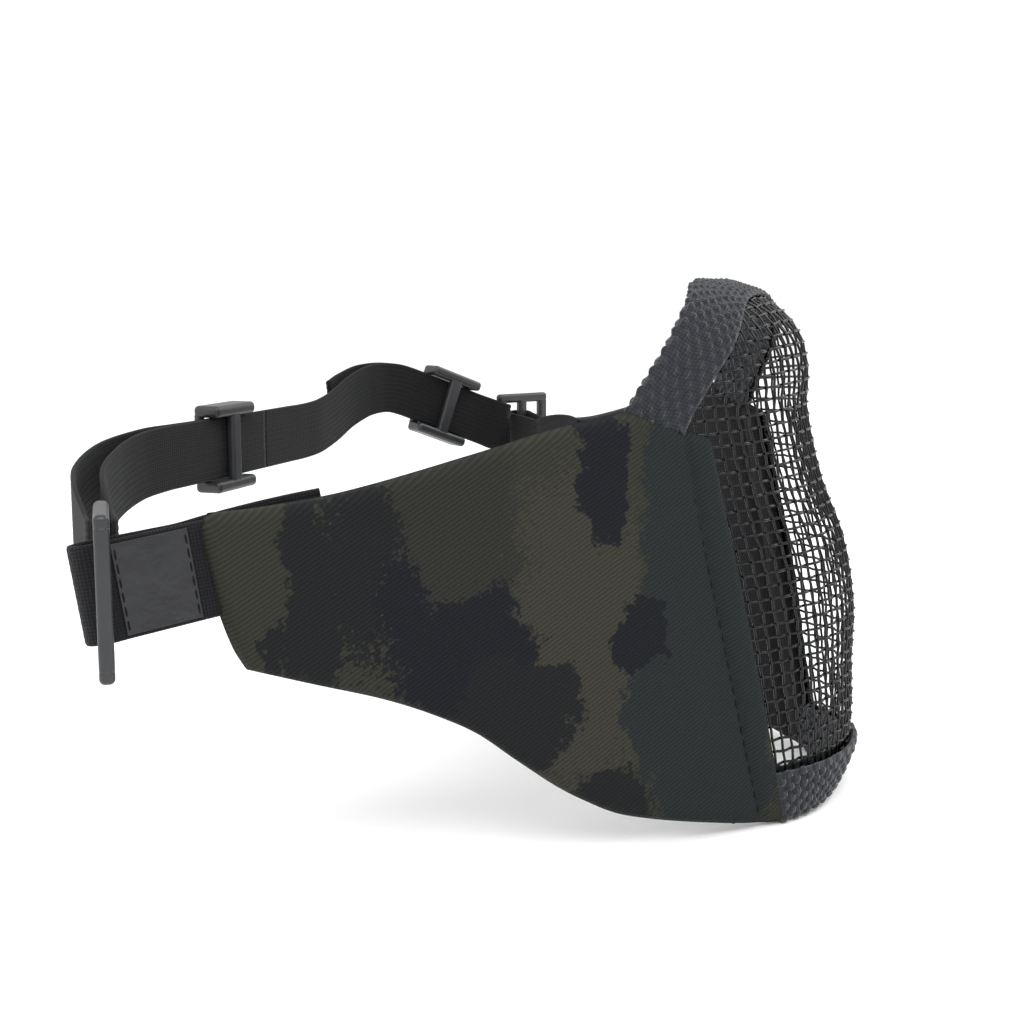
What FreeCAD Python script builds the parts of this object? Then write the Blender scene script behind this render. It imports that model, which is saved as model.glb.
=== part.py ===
import FreeCAD, Part
import math
import os

# Half face mask: woven wire front, bound edges, two padded wings, elastic head strap.
# Millimetres, +Z up, the face looks along -Y, the wearer's left is +X.
# The mask is drawn on the left side and mirrored; the strap is drawn as it lies.

V = FreeCAD.Vector

# ---- overall placing
LIFT = 4.1                    # raises the drawing so that the lowest edges stand on z = 0
MIDDLE_Y = 72.65              # y of the drawing that becomes y = 0
FOOT_Z = -4.35                # height of the wing feet in the drawing, before they are trimmed level
FLARE = 42.0                  # angle of each wing from the fore and aft direction, degrees

# ---- fold line between the wire front and the wing, left side
FOLD_FOOT = (39.0, 13.0)
FOLD_HEAD = (49.0, 34.0)
FOLD_RISE = 93.0              # height over which the fold line runs from foot to head
FOLD_CLEAR = 1.0              # wing starts this far behind the fold line
HEM_CLEAR = 0.3               # hem stops this far ahead of it

# ---- wire front
MESH_THICK = 0.7
MESH_FOOT = -2.4              # lowest row, measured up the flat sheet
# centre line from chin to nose bridge: length along the sheet, y, z
CENTRE = [(-4, -6.5, -1.6), (9, -10.5, 10.5), (28, -10.5, 30), (42, -10.5, 43.5),
          (58, -7.5, 59.5), (74, -1.5, 74.5), (91, 2.5, 91.5), (100, 2.5, 100.5),
          (109, 4.5, 109), (117, 9.5, 115.3), (125, 16, 118.8), (135, 26, 121)]
# top edge from nose bridge to fold line: share of the half width, height up the sheet
TOP_EDGE = [(0.0, 135.0), (0.12, 134.8), (0.25, 133.8), (0.4, 130.5), (0.6, 121.5),
            (0.8, 108.5), (1.0, 94.0)]

# ---- bindings, webbing folded over the edge
BIND_THICK = 1.1
BIND_GAP = 0.15
TOP_BIND_DEPTH = 12.0
FOOT_BIND_DEPTH = 10.5

# ---- hem of the wing, sewn over the edge of the wire
HEM_FOOT = 15.0               # width of the hem at its foot and at its head
HEM_HEAD = 17.8
HEM_TOP_FRONT = 86.3          # height of the hem's front top corner
HEM_TOP_REAR = 93.3
HEM_LEAF = 1.1
HEM_GAP = 0.15

# ---- wing: distance behind the fold line and height, in the plane of the wing
WING_TOP = [(22.9, 93.6), (42.0, 90.0), (58.0, 86.0), (88.0, 79.3), (107.0, 77.0), (116.5, 76.6)]
WING_REAR = [(117.8, 75.2), (116.4, 66.2), (114.2, 57.0), (111.3, 48.0)]
WING_FOOT = [(108.8, 45.6), (96.0, 41.3), (81.0, 36.8), (71.0, 32.2), (60.0, 25.5),
             (49.0, 16.5), (38.0, 7.5), (30.0, 2.0)]
WING_FLAT = 19.0              # the foot is flat from the hem to here
FOAM_HALF = 1.3
SKIN = 0.9
SKIN_GAP = 0.02

# ---- tab, ring and label
TAB_WIDTH = 19.5
TAB_THICK = 1.2
TAB_REACH = 20.5              # wing's rear edge to the ring's middle bar
TAB_HEIGHT = 66.2
TAB_LOOP = 3.5                # radius of the webbing's middle where it turns round the bar
TAB_SLACK = 1.3               # the turn's centre lies this far beyond the bar
TAB_LEAN = 0.1375             # outward step of the outer leaf for each step towards the bar
TAIL_RISE = 0.20              # the tail climbs this much for each step forward
RING_HIGH = 32.5
RING_BAR = 3.2
RING_THICK = 3.0
RING_PITCH = 8.8
RING_RAIL = 3.1
RING_TURN = 34.0              # direction of the ring from the mask's X axis, degrees
LABEL_LONG = 15.4
LABEL_HIGH = 18.0
LABEL_THICK = 0.35

# ---- head strap and its slides
BAND_WIDTH = 16.0
BAND_THICK = 1.2
BAND_TURN = 2.7               # radius of the band's middle where it turns round the ring
BAND_STEP = 1.45              # between the middles of two layers inside a slide
BAND_RISE = 4.8               # the band sits this far above the ring's middle
SLIDE_LONG = 20.0
SLIDE_HIGH = 22.8
SLIDE_RAIL = 3.1
SLIDE_MID = 4.3
SLIDE_SIDE = 3.0
BACK_Y = 151.0                # the back of the strap
BACK_Z = 79.0

SIDE_SLOPE = {"right": -8.0, "left": 4.0}
RIGHT_SLIDE_X = -20.0
LEFT_SLIDE_REACH = 25.0
LEFT_RISE = 20.0
# where the left side bends from the slide to the back, and the loose tail outside it
LEFT_BEND = [(83.9, 147.0, 87.6), (79.3, 149.2, 88.1), (74.5, 150.6, 87.9), (69.7, 151.6, 87.2),
             (60, 152.4, 84.9), (48, 151.9, 81.7), (35, 151, 79.6)]
LEFT_TAIL = [(84.7, 148.5, 87.6), (80.1, 151.3, 88.2), (75.3, 153.5, 88.1), (70.3, 155.3, 87.5),
             (60.5, 156.6, 85.4), (54, 156.6, 83.9)]

RIBBON_STEP = 2.4             # largest spacing of the sections that define a ribbon

NODES = {}


def unit(v):
    """Copy of v with length one."""
    return V(v).normalize()


def smooth(table, u):
    """Value of a smooth curve through table's rows (parameter first) at u."""
    last = len(table) - 1
    i = 0
    while i < last - 1 and u > table[i + 1][0]:
        i += 1
    before, here, there, after = (table[max(i - 1, 0)], table[i], table[i + 1],
                                  table[min(i + 2, last)])
    span = there[0] - here[0]
    s = (u - here[0]) / span
    h1 = 2 * s ** 3 - 3 * s ** 2 + 1
    h2 = s ** 3 - 2 * s ** 2 + s
    h3 = s ** 3 - s ** 2
    out = []
    for k in range(1, len(here)):
        m1 = (there[k] - before[k]) / (there[0] - before[0]) * span
        m2 = (after[k] - here[k]) / (after[0] - here[0]) * span
        out.append(h1 * here[k] + h2 * m1 + (1 - h1) * there[k] + h3 * m2)
    return out


def fold_line(z):
    """Point of the left fold line at height z."""
    s = z / FOLD_RISE
    return V(FOLD_FOOT[0] + (FOLD_HEAD[0] - FOLD_FOOT[0]) * s,
             FOLD_FOOT[1] + (FOLD_HEAD[1] - FOLD_FOOT[1]) * s, z)


BACK = V(math.sin(math.radians(FLARE)), math.cos(math.radians(FLARE)), 0)
FOLD_DIR = unit(fold_line(FOLD_RISE) - fold_line(0))
OUT = unit(BACK.cross(FOLD_DIR))
UP = unit(OUT.cross(BACK))


def front_point(t, q):
    """Point of the wire front: t runs from the middle to a fold line, q up the sheet."""
    side = -1 if t < 0 else 1
    t = abs(t)
    y, z = smooth(CENTRE, q)
    edge = fold_line(q * 0.98 if q < 95 else 93.1 + (q - 95) * 0.75)
    pull = edge - BACK * 17.0
    a = 1 - t
    x = 3 * a * a * t * 0.52 * edge.x + 3 * a * t * t * pull.x + t ** 3 * edge.x
    y = (a ** 3 + 3 * a * a * t) * y + 3 * a * t * t * pull.y + t ** 3 * edge.y
    z = (a ** 3 + 3 * a * a * t) * z + (3 * a * t * t + t ** 3) * edge.z
    return V(side * x, y, z)


def top_height(t):
    """Height up the sheet of the top edge at t."""
    return smooth(TOP_EDGE, abs(t))[0]


def front_out(t, q):
    """Outward direction of the wire front."""
    d = 0.004
    along = front_point(t + d, q) - front_point(t - d, q)
    up = front_point(t, q + 0.3) - front_point(t, q - 0.3)
    return unit(along.cross(up))


def on_front(t, q, off):
    """Point at a distance off outside the wire front."""
    return front_point(t, q) + front_out(t, q) * off


def skin(grid):
    """Smooth surface through a grid of points."""
    surface = Part.BSplineSurface()
    surface.interpolate(grid)
    return surface


def closed(low, high):
    """Solid between two grids of matching points."""
    a, b = skin(low), skin(high)
    faces = [a.toShape(), b.toShape()]
    u0, u1, v0, v1 = a.bounds()
    for iso, value in (("u", u0), ("u", u1), ("v", v0), ("v", v1)):
        pair = []
        for surface in (a, b):
            curve = surface.uIso(value) if iso == "u" else surface.vIso(value)
            pair.append(curve.toShape())
        faces.append(Part.makeRuledSurface(pair[0], pair[1]))
    shell = Part.makeShell(faces)
    shell.sewShape()
    solid = Part.makeSolid(Part.Shell(shell.Faces))
    if solid.Volume < 0:
        solid.reverse()
    return solid


def grid_of(point, rows, columns):
    """Grid of point(u, v) with u and v from 0 to 1."""
    return [[point(i / rows, j / columns) for j in range(columns + 1)] for i in range(rows + 1)]


def sheet_between(point, low, high, rows, columns):
    """Solid sheet whose two faces are point(u, v, low) and point(u, v, high)."""
    return closed(grid_of(lambda u, v: point(u, v, low), rows, columns),
                  grid_of(lambda u, v: point(u, v, high), rows, columns))


def keep(name, shape, mirrored=None):
    """Store a shape, and its mirror image under a second name."""
    NODES[name] = shape
    if mirrored:
        NODES[mirrored] = shape.mirror(V(0, 0, 0), V(1, 0, 0))


# ---- wire front and bindings

def hem_share(q):
    """Share t at which the hem's front edge lies at height q."""
    want = HEM_FOOT + (HEM_HEAD - HEM_FOOT) * q / 90.0
    t, gone, here = 1.0, 0.0, front_point(1.0, q)
    while gone < want:
        t -= 0.01
        there = front_point(t, q)
        gone += there.distanceToPoint(here)
        here = there
    return t + 0.01 * (gone - want) / there.distanceToPoint(front_point(t + 0.01, q))


HEM_HEAD_T = hem_share(HEM_TOP_FRONT / 0.98)


def hem_top(t):
    """Height up the sheet of the hem's sloping top edge at t."""
    low, high = HEM_TOP_FRONT / 0.98, HEM_TOP_REAR / 0.98
    return low + (high - low) * (t - HEM_HEAD_T) / (1 - HEM_HEAD_T)


def make_front():
    """Wire front, as a thin shell of the wire's own thickness."""
    def point(u, v, off):
        t = (2 * u - 1) * 0.992
        q = MESH_FOOT + v * (top_height(t) - MESH_FOOT)
        return on_front(t, q, off)
    keep("mesh_front", sheet_between(point, -MESH_THICK / 2, MESH_THICK / 2, 40, 40))


def inward(t, q, slope, depth):
    """Sheet place at a depth square to an edge of the given slope (height per share)."""
    d = 0.004
    across = (front_point(t + d, q) - front_point(t - d, q)) * (0.5 / d)
    up = (front_point(t, q + 0.3) - front_point(t, q - 0.3)) * (0.5 / 0.3)
    run = unit(across + up * slope)
    into = up * -1
    into = unit(into - run * into.dot(run))
    aa, ab, bb = across.dot(across), across.dot(up), up.dot(up)
    pa, pb = across.dot(into) * depth, up.dot(into) * depth
    det = aa * bb - ab * ab
    return t + (pa * bb - pb * ab) / det, q + (pb * aa - pa * ab) / det


def top_place(t, depth):
    """Sheet place at a depth below the top edge."""
    slope = (top_height(t + 0.01) - top_height(t - 0.01)) / 0.02 if abs(t) < 0.99 else -78.0
    if t < 0:
        slope = -abs(slope)
        share, q = inward(-t, top_height(t), slope, depth)
        return -share, q
    return inward(t, top_height(t), slope, depth)


def top_end(depth):
    """Share of the top edge at which the binding meets the hem, at a depth."""
    low, high = 0.5, 1.0
    for _ in range(30):
        mid = (low + high) / 2
        t, q = top_place(mid, depth)
        if q > hem_top(t) + 0.4:
            low = mid
        else:
            high = mid
    return low


def around_fold(v, depth, off):
    """Depth and side offset for v running down one leaf, round the fold and up the other."""
    turn = math.pi * off
    length = 2 * depth + turn
    s = v * length
    if s < depth:
        return depth - s, -off, 0.0
    if s > depth + turn:
        return s - depth - turn, off, 0.0
    angle = (s - depth) / off
    return 0.0, -off * math.cos(angle), off * math.sin(angle)


def make_top_binding():
    """Webbing folded over the top edge of the wire."""
    middle = MESH_THICK / 2 + BIND_GAP + BIND_THICK / 2
    ends = [(d, top_end(d)) for d in (0.0, 4.0, 8.0, TOP_BIND_DEPTH)]

    def place(u, v, off):
        depth, side, over = around_fold(v, TOP_BIND_DEPTH, middle)
        reach = smooth(ends, depth)[0]
        t, q = top_place((2 * u - 1) * reach, depth)
        out = front_out(t, q)
        edge_t = (2 * u - 1) * reach
        a = front_point(*top_place(edge_t, 0.0))
        b = front_point(*top_place(edge_t, 1.0))
        beyond = unit(a - b)
        spot = front_point(t, q) + out * side + beyond * over
        if over > 0:
            return spot + unit(out * side + beyond * over) * off
        return spot + out * (off if side > 0 else -off)
    keep("top_binding", sheet_between(place, -BIND_THICK / 2, BIND_THICK / 2, 36, 28))


def make_foot_binding():
    """Webbing folded over the bottom edge of the wire, from hem to hem."""
    middle = MESH_THICK / 2 + BIND_GAP + BIND_THICK / 2

    def place(u, v, off):
        depth, side, over = around_fold(v, FOOT_BIND_DEPTH, middle)
        q = MESH_FOOT + depth
        t = (2 * u - 1) * (hem_share(max(q, 0.0)) - 0.008)
        out = front_out(t, q)
        beyond = unit(front_point(t, MESH_FOOT) - front_point(t, MESH_FOOT + 1.0))
        spot = front_point(t, q) + out * side + beyond * over
        if over > 0:
            return spot + unit(out * side + beyond * over) * off
        return spot + out * (off if side > 0 else -off)
    keep("bottom_binding", sheet_between(place, -BIND_THICK / 2, BIND_THICK / 2, 30, 28))


def level_foot(shape):
    """Trim a shape level where it rests on the floor."""
    below = Part.makeBox(300, 300, 20, V(-150, -150, -LIFT - 20))
    return shape.cut(below).Solids[0]


def make_hems():
    """Outer and inner leaves of the hem that holds the side edge of the wire."""
    inner = MESH_THICK / 2 + HEM_GAP

    def place(u, v, off):
        foot = FOOT_Z / 0.98
        top = hem_top(HEM_HEAD_T + u * (0.993 - HEM_HEAD_T))
        q = foot + v * (top - foot)
        t_front = hem_share(q)
        t = t_front + u * (0.993 - t_front)
        return on_front(t, q, off)
    outer = level_foot(sheet_between(place, inner, inner + HEM_LEAF, 10, 20))
    lining = level_foot(sheet_between(place, -inner - HEM_LEAF, -inner, 10, 20))
    keep("hem_cover_left", outer, "hem_cover_right")
    keep("hem_lining_left", lining, "hem_lining_right")


# ---- wings

def in_wing(a, b, off=0.0):
    """Point of the wing's plane: a behind the fold line's foot, b up, off outward."""
    return fold_line(0) + BACK * a + UP * b + OUT * off


def wing_outline(off):
    """Closed outline of the wing at a distance off from its middle plane."""
    ahead = FOLD_DIR.dot(BACK) / FOLD_DIR.dot(UP)
    foot = (FOOT_Z * ahead + FOLD_CLEAR, FOOT_Z)
    head = (93.6 * ahead + FOLD_CLEAR, 93.6)
    flat = (WING_FLAT, FOOT_Z)
    sink = OUT.z * off

    def at(p):
        return in_wing(p[0], p[1] - sink if p[1] == FOOT_Z else p[1], off)
    top = Part.BSplineCurve()
    top.interpolate([at(p) for p in [head] + WING_TOP[1:]])
    rear = Part.BSplineCurve()
    rear.interpolate([at(p) for p in [WING_TOP[-1]] + WING_REAR + [WING_FOOT[0]]])
    low = Part.BSplineCurve()
    low.interpolate([at(p) for p in WING_FOOT + [(24.5, -1.9), (21.5, -3.5), flat]])
    edges = [Part.makeLine(at(foot), at(head)), top.toShape(), rear.toShape(), low.toShape(),
             Part.makeLine(at(flat), at(foot))]
    return Part.Wire(edges)


def make_wings():
    """Cover, foam and lining of a wing, as three flat layers."""
    layers = {"wing_foam": (-FOAM_HALF, FOAM_HALF),
              "wing_cover": (FOAM_HALF + SKIN_GAP, FOAM_HALF + SKIN_GAP + SKIN),
              "wing_lining": (-FOAM_HALF - SKIN_GAP - SKIN, -FOAM_HALF - SKIN_GAP)}
    for name, (low, high) in layers.items():
        face = Part.Face(wing_outline(low))
        solid = level_foot(face.extrude(OUT * (high - low)))
        keep(name + "_left", solid, name + "_right")


# ---- ribbons

def ribbon(points, ups, width, thick):
    """Flat strip with its middle through points, its width along ups."""
    rows = []
    length = 0.0
    for i, (p, w) in enumerate(zip(points, ups)):
        if i:
            length += p.distanceToPoint(points[i - 1])
        rows.append((length, p.x, p.y, p.z, w.x, w.y, w.z))
    total = length

    def middle(s):
        x, y, z, wx, wy, wz = smooth(rows, min(max(s, 0.0), total))
        return V(x, y, z), unit(V(wx, wy, wz))

    def section(s):
        centre, up = middle(s)
        run = unit(middle(s + 0.2)[0] - middle(s - 0.2)[0])
        up = unit(up - run * up.dot(run))
        wide = up * (width / 2)
        deep = unit(run.cross(up)) * (thick / 2)
        corners = [centre - wide - deep, centre + wide - deep, centre + wide + deep, centre - wide + deep]
        return Part.makePolygon(corners + [corners[0]])

    sections = [section(0.0)]
    for here, there in zip(rows, rows[1:]):
        count = max(1, round((there[0] - here[0]) / RIBBON_STEP))
        for i in range(1, count + 1):
            sections.append(section(here[0] + (there[0] - here[0]) * i / count))
    return Part.makeLoft(sections, True, True)


def rounded_box(size, centre, fillet):
    """Box about a centre with every edge rounded."""
    box = Part.makeBox(size[0], size[1], size[2],
                       V(centre[0] - size[0] / 2, centre[1] - size[1] / 2, centre[2] - size[2] / 2))
    return box.makeFillet(fillet, box.Edges)


def stood(shape, origin, along, up):
    """Shape drawn along X with +Z up, moved to origin and turned to along and up."""
    across = unit(up.cross(along))
    turn = FreeCAD.Matrix(along.x, across.x, up.x, origin.x,
                          along.y, across.y, up.y, origin.y,
                          along.z, across.z, up.z, origin.z, 0, 0, 0, 1)
    return shape.transformed(turn)


def mirror_point(p, side):
    """Point of the left side, or its mirror image on the right."""
    return V(p) if side == "left" else V(-p.x, p.y, p.z)


def tab_frame(side):
    """Rear edge of the wing, the tab's direction and its upright direction, left side."""
    slope = math.radians(SIDE_SLOPE[side])
    along = unit(BACK * math.cos(slope) + UP * math.sin(slope))
    return in_wing(116.6, TAB_HEIGHT), along, unit(OUT.cross(along))


def ring_place(side):
    """Middle of the ring's middle bar, and the direction from its outer to its inner bar."""
    start, along, _ = tab_frame(side)
    turn = math.radians(180.0 - RING_TURN)
    return start + along * TAB_REACH, V(math.cos(turn), math.sin(turn), 0)


def make_tab(side):
    """Webbing from the wing round the ring's middle bar, its tail behind the wing."""
    start, along, up = tab_frame(side)
    wrap, turn = TAB_LOOP, TAB_REACH + TAB_SLACK
    path = [(a, 0.7 + TAB_LEAN * (a - 2.3)) for a in (3.3, 6.0, 12.0, 18.0)]
    path += [(turn - 1.5, wrap - 0.1), (turn, wrap)]
    for angle in (22.5, 45, 67.5, 90, 112.5, 135, 157.5, 180):
        turned = math.radians(angle)
        path.append((turn + wrap * math.sin(turned), wrap * math.cos(turned)))
    tail = len(path)
    path += [(turn - 1.5, -wrap), (15.5, -3.1), (10.0, -2.9), (4.0, -3.0), (-2.0, -3.3), (-10.0, -3.6),
             (-22.0, -3.7), (-34.0, -3.9), (-44.0, -4.6)]
    points = []
    for i, (a, off) in enumerate(path):
        rise = TAIL_RISE + math.tan(math.radians(SIDE_SLOPE[side]))
        drift = max(0.0, 4.0 - a) * rise if i >= tail else 0.0
        points.append(start + along * a + OUT * off + UP * drift)
    shape = ribbon(points, [up] * len(points), TAB_WIDTH, TAB_THICK)
    keep("tab_" + side, flipped(shape, side))


def flipped(shape, side):
    """Shape of the left side, or its mirror image on the right."""
    return shape if side == "left" else shape.mirror(V(0, 0, 0), V(1, 0, 0))


def make_label():
    """Blank satin label sewn on the right tab."""
    start, along, up = tab_frame("right")
    box = rounded_box((LABEL_LONG, LABEL_THICK, LABEL_HIGH), (0, 0, 0), 0.12)
    tilt = unit(along + OUT * TAB_LEAN)
    reach = 10.6
    skin_off = 0.7 + TAB_LEAN * (reach - 2.3) + TAB_THICK / 2
    centre = start + along * reach + OUT * (skin_off + LABEL_THICK / 2 + 0.06)
    keep("label_right", flipped(stood(box, centre, tilt, up), "right"))


def make_ring(side):
    """Three bar ring at the end of a tab."""
    long = 2 * RING_PITCH + RING_BAR
    inside = RING_HIGH - 2 * RING_RAIL + 1.0
    parts = []
    for z in (-1, 1):
        middle = z * (RING_HIGH - RING_RAIL) / 2
        parts.append(rounded_box((long, RING_THICK, RING_RAIL), (0, 0, middle), 1.1))
    for x in (-RING_PITCH, 0, RING_PITCH):
        parts.append(rounded_box((RING_BAR, RING_THICK, inside + 1.4), (x, 0, 0), 1.1))
    ring = parts[0].multiFuse(parts[1:]).removeSplitter()
    middle, along = ring_place(side)
    keep("ring_" + side, flipped(stood(ring, middle, along, V(0, 0, 1)), side))


def slide_solid():
    """Three bar slide: its middle bar stands proud so that the band runs straight."""
    near, far = -3.3, 4.25
    parts = []
    for z in (-1, 1):
        middle = z * (SLIDE_HIGH - SLIDE_RAIL) / 2
        parts.append(rounded_box((SLIDE_LONG, far - near, SLIDE_RAIL),
                                 (0, (near + far) / 2, middle), 1.2))
    inside = SLIDE_HIGH - 2 * SLIDE_RAIL + 2.4
    parts.append(rounded_box((SLIDE_MID, 2.4, inside), (0, -0.8 - 1.2, 0), 0.9))
    for x in (-1, 1):
        place = x * (SLIDE_LONG - SLIDE_SIDE) / 2
        parts.append(rounded_box((SLIDE_SIDE, 1.9, inside), (place, 3.2, 0), 0.8))
    return parts[0].multiFuse(parts[1:]).removeSplitter()


# ---- head strap

def ring_end(side):
    """Middle of the ring's inner bar, where the strap turns, and the strap's direction there."""
    middle, along = ring_place(side)
    centre = mirror_point(middle + along * RING_PITCH, side)
    return centre + V(0, 0, BAND_RISE), mirror_point(along, side)


def band_path(side):
    """Middle of the band on one side, from its turn round the ring to the back."""
    centre, along = ring_end(side)
    inside = V(along.y, -along.x, 0) if side == "right" else V(-along.y, along.x, 0)
    turn = BAND_TURN
    path = []
    for angle in range(-90, 91, 20):
        a = math.radians(angle)
        path.append(centre - along * turn * math.cos(a) + inside * turn * math.sin(a))
    path.append(centre + along * 2.0 + inside * turn)
    if side == "right":
        path += [centre + along * 10 + inside * 1.8 + V(0, 0, 0.8),
                 V(-92, 141.0, 73.8), V(-75, 148.0, 76.6), V(-62, 150.6, 78.4)]
        path += [V(x, BACK_Y, BACK_Z) for x in range(-50, 1, 10)]
        return path
    axis = left_axis()
    path = path[:-1]
    path += [centre + axis * d + inside * k for d, k in ((3, 2.3), (6, 1.3), (9, 0.55), (12, 0.12))]
    path += [centre + axis * d for d in (15, 20, 25, 30, 35, 41)]
    path += [V(*p) for p in LEFT_BEND]
    path += [V(x, BACK_Y, BACK_Z) for x in (25, 15, 7, 0)]
    return path


def left_axis():
    """Direction of the straight stretch on which the left slide runs."""
    _, along = ring_end("left")
    rise = math.radians(LEFT_RISE)
    return unit(along * math.cos(rise) + V(0, 0, math.sin(rise)))


def make_bands():
    """Two halves of the head strap, meeting at the middle of the back."""
    for side in ("right", "left"):
        path = band_path(side)
        ups = [V(0, 0, 1)] * len(path)
        keep("strap_" + side, ribbon(path, ups, BAND_WIDTH, BAND_THICK))


def make_returns():
    """Second layers of the strap: ring back to slide, and the loose tail on the left."""
    step = BAND_STEP
    centre, along = ring_end("right")
    inside = V(along.y, -along.x, 0)
    turn = BAND_TURN
    path = [centre + along * 1.0 - inside * (turn + 0.1), centre + along * 6 - inside * 3.4 + V(0, 0, 0.5),
            V(-104, 140.0, 72.4), V(-90, 149.0, 74.6), V(-72, 154.6, 77.2), V(-55, 154.4, 78.8),
            V(-44, 153.0, BACK_Z), V(-36, BACK_Y + step, BACK_Z), V(-28, BACK_Y + step, BACK_Z),
            V(-20, BACK_Y + step, BACK_Z), V(-12, BACK_Y + step, BACK_Z)]
    keep("strap_return_right", ribbon(path, [V(0, 0, 1)] * len(path), BAND_WIDTH, BAND_THICK))

    centre, along = ring_end("left")
    inside = V(-along.y, along.x, 0)
    outside = inside * -1
    axis = left_axis()
    path = [centre + along * 4.6 + outside * 2.5 + V(0, 0, 0.9)]
    path += [centre + axis * d + outside * k for d, k in ((8, 1.95), (11, 1.62), (14, 1.47))]
    path += [centre + axis * d + outside * step for d in (17, 22, 27, 32, 37, 41)]
    path += [V(*p) for p in LEFT_TAIL]
    keep("strap_return_left", ribbon(path, [V(0, 0, 1)] * len(path), BAND_WIDTH, BAND_THICK))


def make_slides():
    """Right slide on the back of the strap, left slide close to the left ring."""
    slide = slide_solid()
    keep("slide_right", stood(slide, V(RIGHT_SLIDE_X, BACK_Y, BACK_Z), V(1, 0, 0), V(0, 0, 1)))
    centre, along = ring_end("left")
    axis = left_axis()
    flat = V(-along.y, along.x, 0) * -1
    up = unit((axis * -1).cross(flat))
    keep("slide_left", stood(slide, centre + axis * LEFT_SLIDE_REACH, axis * -1, up))


def main():
    """Build every node and write one STEP file each."""
    make_front()
    make_top_binding()
    make_foot_binding()
    make_hems()
    make_wings()
    make_label()
    for side in ("right", "left"):
        make_tab(side)
        make_ring(side)
    make_bands()
    make_returns()
    make_slides()
    os.makedirs("parts", exist_ok=True)
    for name, shape in NODES.items():
        shape.translate(V(0, -MIDDLE_Y, LIFT))
        box = shape.BoundBox
        print("%-20s valid %s solids %d volume %8.1f  x %7.1f %7.1f  y %7.1f %7.1f  z %6.1f %6.1f" % (
            name, shape.isValid(), len(shape.Solids), shape.Volume,
            box.XMin, box.XMax, box.YMin, box.YMax, box.ZMin, box.ZMax))
        shape.exportStep("parts/%s.step" % name)


main()
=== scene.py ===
import logging
import math
from dataclasses import dataclass
from enum import Enum
from functools import cached_property, lru_cache
from typing import Callable, Sequence

import bpy
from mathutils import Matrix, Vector, noise


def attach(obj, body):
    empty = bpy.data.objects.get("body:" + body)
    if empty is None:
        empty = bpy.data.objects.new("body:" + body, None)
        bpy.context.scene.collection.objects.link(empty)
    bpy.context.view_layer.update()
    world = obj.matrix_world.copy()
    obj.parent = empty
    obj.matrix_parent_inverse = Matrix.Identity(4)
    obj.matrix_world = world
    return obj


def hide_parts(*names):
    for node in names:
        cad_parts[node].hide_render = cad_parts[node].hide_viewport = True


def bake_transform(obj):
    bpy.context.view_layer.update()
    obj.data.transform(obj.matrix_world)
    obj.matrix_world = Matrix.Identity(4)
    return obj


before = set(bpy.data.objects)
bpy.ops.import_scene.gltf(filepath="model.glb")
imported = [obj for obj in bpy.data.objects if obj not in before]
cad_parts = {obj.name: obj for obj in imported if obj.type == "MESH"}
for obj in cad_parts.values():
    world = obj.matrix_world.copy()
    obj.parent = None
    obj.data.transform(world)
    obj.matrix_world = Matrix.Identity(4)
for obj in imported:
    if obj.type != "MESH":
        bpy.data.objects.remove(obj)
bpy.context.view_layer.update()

log = logging.getLogger("face_mask")

MM = 0.001
MIDDLE_Y = 72.65     # the drawing's y that lies at the frame's y = 0, mm
LIFT = 4.1           # the drawing's z = 0 stands this far above the floor, mm
FOOT_Z = -4.0        # height of the resting edges in the drawing, mm


class Side(Enum):
    """Wearer's right and left; the value is the sign of X."""

    RIGHT = -1
    LEFT = 1

    @property
    def word(self) -> str:
        """Lower-case name of the side."""
        return self.name.lower()


# ---------------------------------------------------------------- small tools

def linear(code: str) -> tuple[float, float, float, float]:
    """Turn an sRGB hex value into a linear colour.

    Args:
        code: Six hex digits after a hash sign.

    Returns:
        Red, green, blue and an alpha of one.
    """
    parts = [int(code[i:i + 2], 16) / 255 for i in (1, 3, 5)]
    line = [c / 12.92 if c <= 0.04045 else ((c + 0.055) / 1.055) ** 2.4 for c in parts]
    return (*line, 1.0)


def add(tree: bpy.types.NodeTree, kind: str, settings: dict | None = None,
        links: dict | None = None) -> bpy.types.Node:
    """Add one node with its settings and links.

    Args:
        tree: Node tree that gets the node.
        kind: Blender's name of the node type.
        settings: Attribute names or input names or numbers, with their values.
        links: Input names or numbers, with the output socket that feeds each.

    Returns:
        The new node.
    """
    node = tree.nodes.new(kind)
    for key, value in (settings or {}).items():
        if isinstance(key, str) and hasattr(node, key):
            setattr(node, key, value)
        else:
            node.inputs[key].default_value = value
    for key, socket in (links or {}).items():
        tree.links.new(socket, node.inputs[key])
    return node


def math_node(tree: bpy.types.NodeTree, operation: str, *values) -> bpy.types.NodeSocket:
    """Add a Math node fed with numbers or sockets.

    Args:
        tree: Node tree that gets the node.
        operation: Name of the operation.
        values: Numbers or output sockets, in order.

    Returns:
        The node's output socket.
    """
    settings = {i: v for i, v in enumerate(values) if not isinstance(v, bpy.types.NodeSocket)}
    links = {i: v for i, v in enumerate(values) if isinstance(v, bpy.types.NodeSocket)}
    node = add(tree, "ShaderNodeMath", {"operation": operation}, links)
    for key, value in settings.items():
        node.inputs[key].default_value = value
    return node.outputs[0]


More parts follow.
